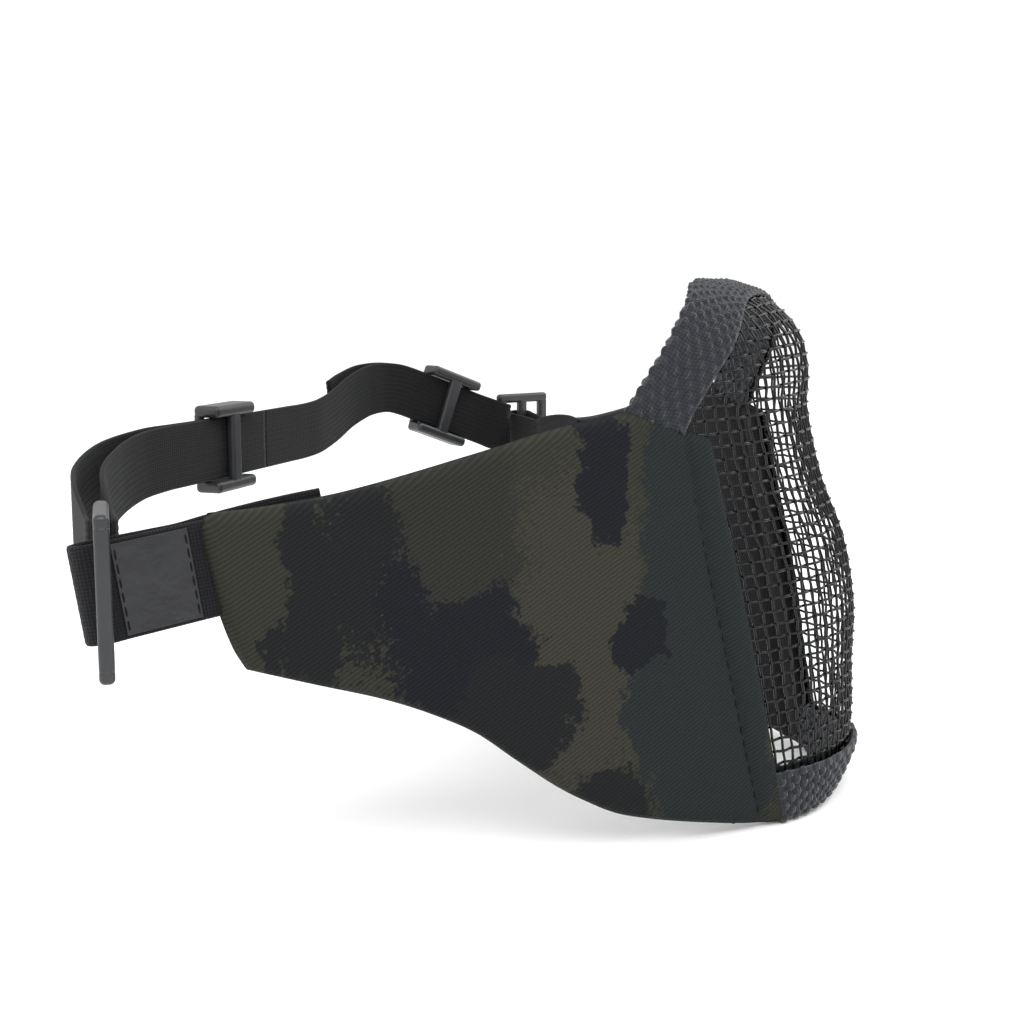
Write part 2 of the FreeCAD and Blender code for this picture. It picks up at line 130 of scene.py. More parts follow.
def mix_colour(tree: bpy.types.NodeTree, share, low, high) -> bpy.types.NodeSocket:
    """Mix two colours by a share, each a value or a socket.

    Args:
        tree: Node tree that gets the node.
        share: Number or socket from 0 to 1.
        low: Colour at 0.
        high: Colour at 1.

    Returns:
        The mixed colour's socket.
    """
    node = add(tree, "ShaderNodeMix", {"data_type": "RGBA"})
    for index, value in ((0, share), (6, low), (7, high)):
        if isinstance(value, bpy.types.NodeSocket):
            tree.links.new(value, node.inputs[index])
        else:
            node.inputs[index].default_value = value
    return node.outputs[2]


def wave_scale(pitch: float) -> float:
    """Scale at which Blender's wave texture repeats once per pitch."""
    return math.pi / (10 * pitch)


def placed(v: Vector) -> tuple[float, float, float]:
    """Turn a drawing point in mm into a frame point in metres."""
    return (v.x * MM, (v.y - MIDDLE_Y) * MM, (v.z + LIFT) * MM)


def smooth(table: Sequence[Sequence[float]], u: float) -> list[float]:
    """Value of a smooth curve through a table's rows at u.

    Args:
        table: Rows that start with the parameter and go on with the values.
        u: Parameter at which the curve is wanted.

    Returns:
        The values at u.
    """
    last = len(table) - 1
    i = 0
    while i < last - 1 and u > table[i + 1][0]:
        i += 1
    before, here, there, after = (table[max(i - 1, 0)], table[i], table[i + 1], table[min(i + 2, last)])
    span = there[0] - here[0]
    s = (u - here[0]) / span
    h1 = 2 * s ** 3 - 3 * s ** 2 + 1
    h2 = s ** 3 - 2 * s ** 2 + s
    h3 = s ** 3 - s ** 2
    out = []
    for k in range(1, len(here)):
        m1 = (there[k] - before[k]) / (there[0] - before[0]) * span
        m2 = (after[k] - here[k]) / (after[0] - here[0]) * span
        out.append(h1 * here[k] + h2 * m1 + (1 - h1) * there[k] + h3 * m2)
    return out


def ease(edge: float, x: float) -> float:
    """Rise from 0 to 1 over an edge, like the side of a rounded lip.

    Args:
        edge: Width of the lip in mm.
        x: Distance from its outer side in mm.

    Returns:
        Share of the full height.
    """
    if x >= edge:
        return 1.0
    return math.sqrt(max(0.0, 1 - (1 - max(x, 0.0) / edge) ** 2))


def rough(x: float, y: float, size: float, seed: float = 0.0) -> float:
    """Smooth unevenness over a surface.

    Args:
        x: Place along the surface in mm.
        y: Place across it in mm.
        size: Distance over which the noise changes, in mm.
        seed: Picks another pattern.

    Returns:
        A value from -1 to 1.
    """
    return noise.noise(Vector((x / size, y / size, seed)))


def piece_from(name: str, points: list[Vector], faces: list[tuple[int, ...]],
               uvs: list[tuple[float, float]] | None = None) -> bpy.types.Object:
    """Make a mesh object from drawing points.

    Args:
        name: Name of the piece.
        points: Corners in mm in the drawing.
        faces: Corner numbers of each face.
        uvs: Place of each corner on the flat cloth, in mm.

    Returns:
        The new object, at the origin.
    """
    mesh = bpy.data.meshes.new(name)
    mesh.from_pydata([placed(p) for p in points], [], faces)
    if uvs:
        layer = mesh.uv_layers.new(name="cloth")
        for loop in mesh.loops:
            layer.data[loop.index].uv = uvs[loop.vertex_index]
    mesh.validate()
    mesh.shade_smooth()
    obj = bpy.data.objects.new(name, mesh)
    bpy.context.scene.collection.objects.link(obj)
    return obj


def grid_piece(name: str, rows: list[list[Vector]], uvs: list[list[tuple[float, float]]],
               flip: bool = False) -> bpy.types.Object:
    """Make an open sheet from a grid of points.

    Args:
        name: Name of the piece.
        rows: Grid of drawing points.
        uvs: Place of each point on the flat cloth, in mm.
        flip: Turn the faces round.

    Returns:
        The new object.
    """
    width = len(rows[0])
    faces = []
    for i in range(len(rows) - 1):
        for j in range(width - 1):
            a = i * width + j
            quad = (a, a + 1, a + width + 1, a + width)
            faces.append(quad[::-1] if flip else quad)
    return piece_from(name, [p for r in rows for p in r], faces, [c for r in uvs for c in r])


def only(obj: bpy.types.Object) -> None:
    """Select one object alone and make it active."""
    bpy.ops.object.select_all(action="DESELECT")
    obj.select_set(True)
    bpy.context.view_layer.objects.active = obj


def thicken(obj: bpy.types.Object, thick: float) -> None:
    """Give an open sheet its thickness on the inner side of its faces.

    Args:
        obj: Sheet to thicken.
        thick: Thickness in mm.
    """
    only(obj)
    solid = obj.modifiers.new("thickness", "SOLIDIFY")
    solid.thickness = thick * MM
    solid.offset = -1.0
    solid.use_even_offset = False
    bpy.ops.object.modifier_apply(modifier=solid.name)
    obj.data.shade_smooth()


def outward(obj: bpy.types.Object) -> None:
    """Make the normals of a closed mesh point outwards.

    Args:
        obj: Piece with a closed mesh.
    """
    only(obj)
    bpy.ops.object.mode_set(mode="EDIT")
    bpy.ops.mesh.select_all(action="SELECT")
    bpy.ops.mesh.normals_make_consistent(inside=False)
    bpy.ops.object.mode_set(mode="OBJECT")


def dress(obj: bpy.types.Object, material: bpy.types.Material) -> None:
    """Give an object one material on all its faces."""
    obj.data.materials.clear()
    obj.data.materials.append(material)


# ---------------------------------------------------------------- the mask's form

CENTRE = [(-4, -6.5, -1.6), (9, -10.5, 10.5), (28, -10.5, 30), (42, -10.5, 43.5),
          (58, -7.5, 59.5), (74, -1.5, 74.5), (91, 2.5, 91.5), (100, 2.5, 100.5),
          (109, 4.5, 109), (117, 9.5, 115.3), (125, 16, 118.8), (135, 26, 121)]
TOP_EDGE = [(0.0, 135.0), (0.12, 134.8), (0.25, 133.8), (0.4, 130.5), (0.6, 121.5), (0.8, 108.5), (1.0, 94.0)]
MESH_FOOT = -2.4
HEM_FOOT, HEM_HEAD = 15.0, 17.8
HEM_TOP_FRONT, HEM_TOP_REAR = 86.3, 93.3
FLARE = math.radians(42.0)


def fold_line(z: float) -> Vector:
    """Find a point of the left fold line.

    Args:
        z: Height in the drawing, mm.

    Returns:
        The point in the drawing.
    """
    s = z / 93.0
    return Vector((39.0 + 10.0 * s, 13.0 + 21.0 * s, z))


BACK = Vector((math.sin(FLARE), math.cos(FLARE), 0))
FOLD_DIR = (fold_line(93) - fold_line(0)).normalized()
OUT = BACK.cross(FOLD_DIR).normalized()
UP = OUT.cross(BACK).normalized()


def front_point(t: float, q: float) -> Vector:
    """Point of the wire front.

    Args:
        t: Share of the half width, from the middle to a fold line; negative on the right.
        q: Height up the flat sheet in mm.

    Returns:
        The point in the drawing.
    """
    side = -1 if t < 0 else 1
    t = abs(t)
    y, z = smooth(CENTRE, q)
    edge = fold_line(q * 0.98 if q < 95 else 93.1 + (q - 95) * 0.75)
    pull = edge - BACK * 17.0
    a = 1 - t
    x = 3 * a * a * t * 0.52 * edge.x + 3 * a * t * t * pull.x + t ** 3 * edge.x
    y = (a ** 3 + 3 * a * a * t) * y + 3 * a * t * t * pull.y + t ** 3 * edge.y
    z = (a ** 3 + 3 * a * a * t) * z + (3 * a * t * t + t ** 3) * edge.z
    return Vector((side * x, y, z))


def front_out(t: float, q: float) -> Vector:
    """Find the outward direction of the wire front.

    Args:
        t: Share of the half width.
        q: Height up the flat sheet in mm.

    Returns:
        A unit vector.
    """
    along = front_point(t + 0.004, q) - front_point(t - 0.004, q)
    up = front_point(t, q + 0.3) - front_point(t, q - 0.3)
    return along.cross(up).normalized()


def top_height(t: float) -> float:
    """Height up the sheet of the top edge at t."""
    return smooth(TOP_EDGE, abs(t))[0]


@lru_cache(maxsize=4096)
def hem_share(q: float) -> float:
    """Find the share at which the hem's front edge lies.

    Args:
        q: Height up the flat sheet in mm.

    Returns:
        Share of the half width.
    """
    want = HEM_FOOT + (HEM_HEAD - HEM_FOOT) * q / 90.0
    return share_ahead(q, want)


def share_ahead(q: float, want: float) -> float:
    """Find the share at a distance ahead of the fold line.

    Args:
        q: Height up the flat sheet in mm.
        want: Distance over the front in mm.

    Returns:
        Share of the half width.
    """
    t, gone, here = 1.0, 0.0, front_point(1.0, q)
    there, step = here, 0.0
    while gone < want:
        t -= 0.02
        there = front_point(t, q)
        step = (there - here).length
        gone += step
        here = there
    return t + 0.02 * (gone - want) / step if step else t


HEM_HEAD_T = hem_share(HEM_TOP_FRONT / 0.98)


def hem_top(t: float) -> float:
    """Find the hem's sloping top edge.

    Args:
        t: Share of the half width.

    Returns:
        Height up the flat sheet in mm.
    """
    low, high = HEM_TOP_FRONT / 0.98, HEM_TOP_REAR / 0.98
    return low + (high - low) * (t - HEM_HEAD_T) / (1 - HEM_HEAD_T)


def mirrored(p: Vector, side: Side) -> Vector:
    """Point of the left half, or its mirror image on the right."""
    return Vector((p.x * side.value, p.y, p.z))


def in_wing(a: float, b: float, off: float = 0.0) -> Vector:
    """Point of the left wing: a behind the fold line's foot, b up, off outward, mm."""
    return fold_line(0) + BACK * a + UP * b + OUT * off


# ---------------------------------------------------------------- finishes

@dataclass(frozen=True)
class Finish:
    """A finish with its own material."""

    name: str
    slot: str

    def start(self) -> tuple[bpy.types.Material, bpy.types.NodeTree, bpy.types.Node]:
        """Make an empty material with a shader.

        Returns:
            The material, its node tree and its shader node.
        """
        material = bpy.data.materials.new(self.name)
        material.use_nodes = True
        tree = material.node_tree
        return material, tree, tree.nodes["Principled BSDF"]

    def bump(self, tree: bpy.types.NodeTree, shader: bpy.types.Node, height: bpy.types.NodeSocket,
             depth: float, before: bpy.types.NodeSocket | None = None) -> bpy.types.NodeSocket:
        """Add a bump to the shader.

        Args:
            tree: The material's node tree.
            shader: The shader node.
            height: Socket with the pattern's height from 0 to 1.
            depth: Height of the pattern in mm.
            before: Normal of another bump beneath this one.

        Returns:
            The bump's normal.
        """
        links = {"Height": height}
        if before:
            links["Normal"] = before
        node = add(tree, "ShaderNodeBump", {"Strength": 1.0, "Distance": depth * MM}, links)
        tree.links.new(node.outputs[0], shader.inputs["Normal"])
        return node.outputs[0]


@dataclass(frozen=True)
class Patch:
    """One printed blotch of the camouflage, in the wing's plane, mm."""

    a: float
    b: float
    half_a: float
    half_b: float
    tone: str
    speckle: float = 0.0


# tones of the print: a night version of a woodland camouflage
KHAKI, BROWN, GREEN, NAVY, COAL = "#2b2c25", "#32312a", "#202425", "#16171c", "#191a1b"
PATCHES = (
    Patch(66, 70, 17, 26, "#272824", 0.35), Patch(36, 46, 17, 40, BROWN, 0.45),
    Patch(86, 66, 8, 22, COAL, 0.55), Patch(97, 60, 6.5, 28, COAL), Patch(62, 42, 16, 17, NAVY),
    Patch(77, 52, 6, 14, NAVY, 0.5), Patch(52, 30, 16, 12, COAL), Patch(4, 44, 19, 70, GREEN),
    Patch(31, 82, 6.5, 17, NAVY), Patch(22, 46, 6, 9, NAVY), Patch(31, 6, 12, 9, COAL),
    Patch(105, 48, 2.6, 9, COAL), Patch(22, 24, 5, 12, GREEN))


@dataclass(frozen=True)
class CamoTwill(Finish):
    """Printed polyester and cotton twill: matt, with fine diagonal ridges that catch the light and painted
    shade in the grooves between them.
    """

    pitch: float = 0.85       # a little over the real ridge spacing, so that it shows
    ground: str = KHAKI
    drift: float = 20.0       # how far the blotches' outlines wander, mm
    ridge_turn: float = -60.0    # direction of the ridges, degrees

    @cached_property
    def material(self) -> bpy.types.Material:
        """Build the material, once, on first use.

        Returns:
            The material.
        """
        material, tree, shader = self.start()
        uv = add(tree, "ShaderNodeUVMap", {"uv_map": "cloth"}).outputs[0]
        wander = add(tree, "ShaderNodeTexNoise", {"Scale": 0.09, "Detail": 5.0, "Roughness": 0.62},
                     {0: uv})
        shift = add(tree, "ShaderNodeVectorMath", {"operation": "SUBTRACT", 1: (0.5, 0.5, 0.5)},
                    {0: wander.outputs["Color"]})
        shift = add(tree, "ShaderNodeVectorMath", {"operation": "SCALE", "Scale": self.drift},
                    {0: shift.outputs[0]})
        moved = add(tree, "ShaderNodeVectorMath", {"operation": "ADD"},
                    {0: uv, 1: shift.outputs[0]}).outputs[0]
        grain = add(tree, "ShaderNodeTexNoise", {"Scale": 0.75, "Detail": 4.0, "Roughness": 0.75}, {0: uv})
        colour = linear(self.ground)
        for patch in PATCHES:
            away = add(tree, "ShaderNodeVectorMath", {"operation": "SUBTRACT", 1: (patch.a, patch.b, 0)},
                       {0: moved}).outputs[0]
            away = add(tree, "ShaderNodeVectorMath",
                       {"operation": "MULTIPLY", 1: (1 / patch.half_a, 1 / patch.half_b, 0)},
                       {0: away}).outputs[0]
            reach = add(tree, "ShaderNodeVectorMath", {"operation": "LENGTH"}, {0: away}).outputs["Value"]
            fray = math_node(tree, "MULTIPLY_ADD", grain.outputs[0], 0.75 + patch.speckle * 3.2,
                             -0.37 - patch.speckle * 1.6)
            reach = math_node(tree, "ADD", reach, fray)
            inside = math_node(tree, "MULTIPLY_ADD", reach, -14.0, 14.0)
            inside = math_node(tree, "MINIMUM", math_node(tree, "MAXIMUM", inside, 0.0), 1.0)
            colour = mix_colour(tree, inside, colour, linear(patch.tone))
        turned = add(tree, "ShaderNodeMapping", {"Rotation": (0, 0, math.radians(self.ridge_turn))},
                     {0: uv}).outputs[0]
        ridge = add(tree, "ShaderNodeTexWave", {"Scale": wave_scale(self.pitch), "Distortion": 0.6,
                                                "Detail": 1.0, "Detail Scale": 2.0}, {0: turned})
        fleck = add(tree, "ShaderNodeTexNoise", {"Scale": 2.2, "Detail": 2.0}, {0: uv})
        height = math_node(tree, "MULTIPLY_ADD", fleck.outputs[0], 0.5, ridge.outputs["Fac"])
        # the colour is darkened where the ridge height is low: painted shade in the grooves; the fleck noise
        # in the height adds a random tone
        shade = math_node(tree, "MULTIPLY_ADD", height, 0.42, 0.62)
        print_with_groove_shade = add(tree, "ShaderNodeVectorMath", {"operation": "SCALE"}, {0: colour, "Scale": shade})
        tree.links.new(print_with_groove_shade.outputs[0], shader.inputs["Base Color"])
        shader.inputs["Roughness"].default_value = 0.86
        shader.inputs["Specular IOR Level"].default_value = 0.15
        self.bump(tree, shader, height, 0.16)
        return material


@dataclass(frozen=True)
class Woven(Finish):
    """Dyed woven yarn: matt, with painted shade that makes the gaps darker than the yarns' tops."""

    yarn: str = "#2a2b30"
    # colour in the gaps between the yarns: painted shade
    gap: str = "#0c0d10"
    pitch_u: float = 1.2
    pitch_v: float = 1.2
    depth: float = 0.1
    sheen: float = 0.05
    roughness: float = 0.8

    @cached_property
    def material(self) -> bpy.types.Material:
        """Build the material, once, on first use.

        Returns:
            The material.
        """
        material, tree, shader = self.start()
        uv = add(tree, "ShaderNodeUVMap", {"uv_map": "cloth"}).outputs[0]
        along = add(tree, "ShaderNodeTexWave", {"Scale": wave_scale(self.pitch_u), "Distortion": 0.4,
                                                "bands_direction": "X"}, {0: uv})
        across = add(tree, "ShaderNodeTexWave", {"Scale": wave_scale(self.pitch_v), "Distortion": 0.4,
                                                 "bands_direction": "Y"}, {0: uv})
        fibre = add(tree, "ShaderNodeTexNoise", {"Scale": 3.2, "Detail": 3.0}, {0: uv})
        height = math_node(tree, "MULTIPLY", along.outputs["Fac"], across.outputs["Fac"])
        height = math_node(tree, "MULTIPLY_ADD", fibre.outputs[0], 0.4, height)
        # low height mixes towards the gap colour: painted shade in the gaps between yarns; the fibre noise
        # adds a random tone
        colour = mix_colour(tree, height, linear(self.gap), linear(self.yarn))
        tree.links.new(colour, shader.inputs["Base Color"])
        shader.inputs["Roughness"].default_value = self.roughness
        shader.inputs["Sheen Weight"].default_value = self.sheen
        shader.inputs["Specular IOR Level"].default_value = 0.18
        self.bump(tree, shader, height, self.depth)
        return material


@dataclass(frozen=True)
class EnamelWire(Finish):
    """Steel wire under baked black enamel: hard narrow highlights along each wire."""

    @cached_property
    def material(self) -> bpy.types.Material:
        """Build the material, once, on first use.

        Returns:
            The material.
        """
        material, tree, shader = self.start()
        where = add(tree, "ShaderNodeTexCoord").outputs["Object"]
        spots = add(tree, "ShaderNodeTexNoise", {"Scale": 900.0, "Detail": 2.0}, {0: where})
        colour = mix_colour(tree, spots.outputs[0], linear("#030304"), linear("#0c0d10"))
        tree.links.new(colour, shader.inputs["Base Color"])
        gloss = math_node(tree, "MULTIPLY_ADD", spots.outputs[0], 0.2, 0.14)
        tree.links.new(gloss, shader.inputs["Roughness"])
        shader.inputs["Specular IOR Level"].default_value = 0.3
        self.bump(tree, shader, spots.outputs[0], 0.03)
        return material


@dataclass(frozen=True)
class MouldedAcetal(Finish):
    """Injection moulded acetal: dark grey, satin, with a faint spark-eroded grain."""

    @cached_property
    def material(self) -> bpy.types.Material:
        """Build the material, once, on first use.

        Returns:
            The material.
        """
        material, tree, shader = self.start()
        where = add(tree, "ShaderNodeTexCoord").outputs["Object"]
        grain = add(tree, "ShaderNodeTexNoise", {"Scale": 2600.0, "Detail": 3.0}, {0: where})
        cloud = add(tree, "ShaderNodeTexNoise", {"Scale": 140.0, "Detail": 2.0}, {0: where})
        colour = mix_colour(tree, cloud.outputs[0], linear("#1b1c1e"), linear("#2a2b2d"))
        tree.links.new(colour, shader.inputs["Base Color"])
        gloss = math_node(tree, "MULTIPLY_ADD", grain.outputs[0], 0.2, 0.3)
        tree.links.new(gloss, shader.inputs["Roughness"])
        self.bump(tree, shader, grain.outputs[0], 0.03)
        return material


@dataclass(frozen=True)
class Satin(Finish):
    """Black woven satin ribbon: smooth, with a soft streak of painted sheen across the threads."""

    @cached_property
    def material(self) -> bpy.types.Material:
        """Build the material, once, on first use.

        Returns:
            The material.
        """
        material, tree, shader = self.start()
        where = add(tree, "ShaderNodeTexCoord").outputs["Object"]
        ripple = add(tree, "ShaderNodeTexNoise", {"Scale": 260.0, "Detail": 3.0}, {0: where})
        # the colour lightens where the ripple rises: painted sheen along the ripples
        colour = mix_colour(tree, ripple.outputs[0], linear("#08090c"), linear("#15161b"))
        tree.links.new(colour, shader.inputs["Base Color"])
        shader.inputs["Roughness"].default_value = 0.38
        shader.inputs["Anisotropic"].default_value = 0.5
        self.bump(tree, shader, ripple.outputs[0], 0.5)
        return material


CAMO = CamoTwill("printed_twill", "camo_cloth")
# each gap colour below is painted shade between the yarns, darker than the yarn colour
BINDING = Woven("slate_coarse_webbing", "binding", yarn="#2d2f35", gap="#1b1d21", pitch_u=0.8, pitch_v=0.8,
                depth=0.12, sheen=0.2)
WEBBING = Woven("black_webbing", "webbing", yarn="#1c1d21", gap="#060607", pitch_u=0.7, pitch_v=0.7,
                depth=0.1)
ELASTIC = Woven("ribbed_elastic", "elastic", yarn="#17181a", gap="#050506", pitch_u=0.9, pitch_v=0.7,
                depth=0.08)
LINING = Woven("knitted_lining", "lining_cloth", yarn="#15161a", gap="#050506", pitch_u=1.0, pitch_v=0.8,
               depth=0.1)
FOAM = Woven("laminate_foam", "foam", yarn="#1c1c1c", gap="#0c0c0c", pitch_u=1.4, pitch_v=1.4, depth=0.1)
THREAD = Woven("polyester_thread", "webbing", yarn="#0d0e11", gap="#050506", pitch_u=0.5, pitch_v=0.5,
               depth=0.02)
WIRE = EnamelWire("enamelled_wire", "wire")
ACETAL = MouldedAcetal("moulded_acetal", "plastic")
SATIN = Satin("black_satin", "label")


# ---------------------------------------------------------------- wire front

@dataclass
class WireFront:
    """Plain weave of enamelled wire, formed over the face."""

    pitch: float = 3.05
    wire: float = 0.66
    crimp: float = 0.16        # swing of the rising wires; the crossing ones take the rest
    cross_crimp: float = 0.46
    sides: int = 6

    def place(self, t: float, q: float, off: float) -> Vector:
        """Find a point on the slightly uneven weave.

        Args:
            t: Share of the half width.
            q: Height up the flat sheet in mm.
            off: Distance in front of the sheet in mm.

        Returns:
            The point in the drawing.
        """
        t += rough(t * 70, q, 12.0, 1.0) * 0.002
        q += rough(t * 70, q, 12.0, 5.0) * 0.18
        return front_point(t, q) + front_out(t, q) * off

    def tube(self, path: list[Vector], points: list[Vector], faces: list[tuple[int, ...]]) -> None:
        """Add one closed wire along a path.

        Args:
            path: Middle of the wire.
            points: Corners gathered so far.
            faces: Faces gathered so far.
        """
        start, n = len(points), self.sides
        up = Vector((0.3, -0.9, 0.2)).normalized()
        for i, p in enumerate(path):
            run = (path[min(i + 1, len(path) - 1)] - path[max(i - 1, 0)]).normalized()
            a = run.cross(up).normalized()
            b = a.cross(run)
            up = b
            for k in range(n):
                turn = 2 * math.pi * k / n
                points.append(p + (a * math.cos(turn) + b * math.sin(turn)) * (self.wire / 2))
        for i in range(len(path) - 1):
            for k in range(n):
                c = start + i * n
                faces.append((c + k, c + (k + 1) % n, c + n + (k + 1) % n, c + n + k))
        faces.append(tuple(start + k for k in range(n))[::-1])
        faces.append(tuple(start + (len(path) - 1) * n + k for k in range(n)))

    def shares(self) -> list[float]:
        """Space the wires evenly over the front at mouth height.

        Returns:
            Shares of the half width, half a pitch apart, from the middle outwards.
        """
        found, gone, t = [0.0], 0.0, 0.0
        here = front_point(0.0, 60.0)
        while t < 1.0:
            t += 0.002
            there = front_point(t, 60.0)
            gone += (there - here).length
            here = there
            if gone >= self.pitch / 2 * len(found):
                found.append(t)
        return found

    def build(self) -> None:
        """Weave the rising and the crossing wires."""
        share = self.shares()
        count = (len(share) - 1) // 2
        rising, crossing = ([], []), ([], [])
        for i in range(-count + 1, count):
            t = math.copysign(share[2 * abs(i)], i)
            top = top_height(t) - 1.2
            steps = int((top - MESH_FOOT) / (self.pitch / 2))
            path = [self.place(t, MESH_FOOT + k * self.pitch / 2,
                               self.crimp * math.cos(math.pi * k / 2) * (-1) ** i) for k in range(steps + 1)]
            self.tube(path, *rising)
        row = 0
        while MESH_FOOT + row * self.pitch < 133.5:
            q = MESH_FOOT + row * self.pitch
            path = []
            for k in range(-2 * count + 1, 2 * count):
                t = math.copysign(share[abs(k)], k)
                if q < top_height(t) - 0.8:
                    wave = math.cos(math.pi * k / 2) * (-1) ** row
                    path.append(self.place(t, q, -self.cross_crimp * wave))
            if len(path) > 3:
                self.tube(path, *crossing)
            row += 1
        for name, (points, faces) in (("wires_rising", rising), ("wires_crossing", crossing)):
            obj = piece_from(name, points, faces)
            outward(obj)
            dress(obj, WIRE.material)
            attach(obj, "mask")
            if name == "wires_rising":
                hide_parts("mesh_front")
            log.info("%s: %d wires' faces", name, len(faces))


# ---------------------------------------------------------------- bindings

def inward(t: float, q: float, slope: float, depth: float) -> tuple[float, float]:
    """Sheet place at a depth square to an edge.

    Args:
        t: Share at the edge.
        q: Height at the edge.
        slope: Height that the edge gains per share.
        depth: Distance in from the edge in mm.

    Returns:
        Share and height of the place.
    """
    across = (front_point(t + 0.004, q) - front_point(t - 0.004, q)) * 125
    up = (front_point(t, q + 0.3) - front_point(t, q - 0.3)) * (0.5 / 0.3)
    run = (across + up * slope).normalized()
    into = -up
    into = (into - run * into.dot(run)).normalized()
    aa, ab, bb = across.dot(across), across.dot(up), up.dot(up)
    pa, pb = across.dot(into) * depth, up.dot(into) * depth
    det = aa * bb - ab * ab
    return t + (pa * bb - pb * ab) / det, q + (pb * aa - pa * ab) / det


def top_place(t: float, depth: float) -> tuple[float, float]:
    """Find the sheet place at a depth square to the top edge.

    Args:
        t: Share of the half width at the edge; negative on the right.
        depth: Distance in from the edge in mm.

    Returns:
        Share and height of the place.
    """
    slope = (top_height(abs(t) + 0.01) - top_height(abs(t) - 0.01)) / 0.02 if 0.01 < abs(t) < 0.99 else (
        -78.0 if abs(t) > 0.5 else 0.0)
    share, q = inward(abs(t), top_height(t), -abs(slope), depth)
    return (-share if t < 0 else share), q


def top_end(depth: float) -> float:
    """Find where the nose binding runs into the hem.

    Args:
        depth: Distance in from the top edge in mm.

    Returns:
        Share of the half width, at the edge.
    """
    low, high = 0.5, 1.0
    for _ in range(24):
        mid = (low + high) / 2
        t, q = top_place(mid, depth)
        if q > hem_top(t) - 1.5:
            low = mid
        else:
            high = mid
    return low


@dataclass
class Binding:
    """Coarse webbing folded over an edge of the wire."""

    yarn: float = 2.5          # spacing of the thick yarns
    relief: float = 0.8         # how far they stand out
    half_gap: float = 0.62     # from the middle of the wire to the webbing's inner face
    thick: float = 1.0
    grain: float = 0.44        # spacing of the mesh's rows

    def weave(self, u: float, v: float) -> float:
        """Height of the plain weave.

        Args:
            u: Place along the webbing in mm.
            v: Place across it in mm.

        Returns:
            Height in mm.
        """
        i, j = math.floor(u / self.yarn), math.floor(v / (self.yarn * 0.62))
        fu = u / self.yarn - i
        fv = v / (self.yarn * 0.62) - j
        over = (i + j) % 2
        bulge = math.sin(math.pi * fu) * math.sin(math.pi * fv)
        return self.relief * (bulge ** 0.6 * (1.0 if over else 0.15) + 0.25 * rough(u, v, 0.9))

    def around(self, s: float, depth: float, off: float) -> tuple[float, float, float]:
        """Follow the webbing round the edge of the wire.

        Args:
            s: Length from the inner leaf's edge in mm.
            depth: Depth of each leaf in mm.
            off: Distance from the middle of the wire in mm.

        Returns:
            Depth below the edge, offset to the side and rise past the edge.
        """
        turn = math.pi * off
        if s < depth:
            return depth - s, -off, 0.0
        if s > depth + turn:
            return s - depth - turn, off, 0.0
        angle = (s - depth) / off
        return 0.0, -off * math.cos(angle), off * math.sin(angle)

    def sheet(self, name: str, node: str, depth: float, length: float,
              spot: Callable[[float, float], tuple[float, float, Vector]]) -> None:
        """Build a binding.

        Args:
            name: Name of the piece.
            node: CAD node that it stands for.
            depth: Depth of each leaf in mm.
            length: Rough length of the binding in mm.
            spot: Gives share, height and outward edge direction for u from -1 to 1 and a depth.
        """
        off = self.half_gap + self.thick
        wide = 2 * depth + math.pi * off
        columns, rows = round(wide / self.grain), round(length / self.grain)
        grid, uvs = [], []
        for i in range(rows + 1):
            u = 2 * i / rows - 1
            line, flat = [], []
            for j in range(columns + 1):
                s = wide * j / columns
                down, side, over = self.around(s, depth, off)
                t, q, beyond = spot(u, down)
                out = front_out(t, q)
                way = (out * side + beyond * over).normalized() if over > 0 else (out if side > 0 else -out)
                lip = min(s, wide - s)
                lift = self.weave(i * length / rows, s) * min(1.0, lip / 0.8)
                line.append(front_point(t, q) + out * side + beyond * over + way * (lift - 0.25))
                flat.append((i * length / rows, s))
            grid.append(line)
            uvs.append(flat)
        obj = grid_piece(name, grid, uvs, flip=False)
        thicken(obj, self.thick * 0.8)
        outward(obj)
        dress(obj, BINDING.material)
        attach(obj, "mask")
        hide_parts(node)
        log.info("%s: %d by %d rows", name, rows, columns)

    def build(self) -> None:
        """Build the binding over the nose and the one under the chin."""
        ends = [(d, top_end(d)) for d in (0.0, 4.0, 8.0, 12.0)]

        def nose(u: float, depth: float) -> tuple[float, float, Vector]:
            """Place on the sheet and the edge's direction, along the top."""
            reach = u * smooth(ends, depth)[0]
            t, q = top_place(reach, depth)
            a = front_point(*top_place(reach, 0.0))
            b = front_point(*top_place(reach, 1.0))
            return t, q, (a - b).normalized()

        def chin(u: float, depth: float) -> tuple[float, float, Vector]:
            """Place on the sheet and the edge's direction, along the foot."""
            q = MESH_FOOT + depth
            t = u * (hem_share(round(max(q, 0.0), 1)) + 0.01)
            return t, q, (front_point(t, MESH_FOOT) - front_point(t, MESH_FOOT + 1.0)).normalized()

        self.sheet("nose_binding", "top_binding", 12.0, 134.0, nose)
        self.sheet("chin_binding", "bottom_binding", 10.5, 74.0, chin)


# ---------------------------------------------------------------- cheek wings

WING_TOP = [(22.9, 93.3), (42.0, 90.0), (58.0, 86.0), (88.0, 79.3), (107.0, 77.0), (116.0, 76.6)]
WING_REAR = [(109.5, 45.8), (111.8, 50.0), (114.2, 57.0), (116.4, 66.2), (117.6, 74.0), (116.0, 76.6)]
HEM_FOOT_RISE = 2.6        # the hem's foot climbs this far towards the fold
WING_FOOT = [(-0.32, FOOT_Z + HEM_FOOT_RISE), (9.7, 0.4), (19.0, 2.4), (27.6, 4.9), (36.0, 9.2), (42.1, 13.0),
             (51.4, 20.0), (60.5, 27.0), (71.0, 32.5), (81.5, 36.8), (96.0, 41.4), (109.5, 45.8)]


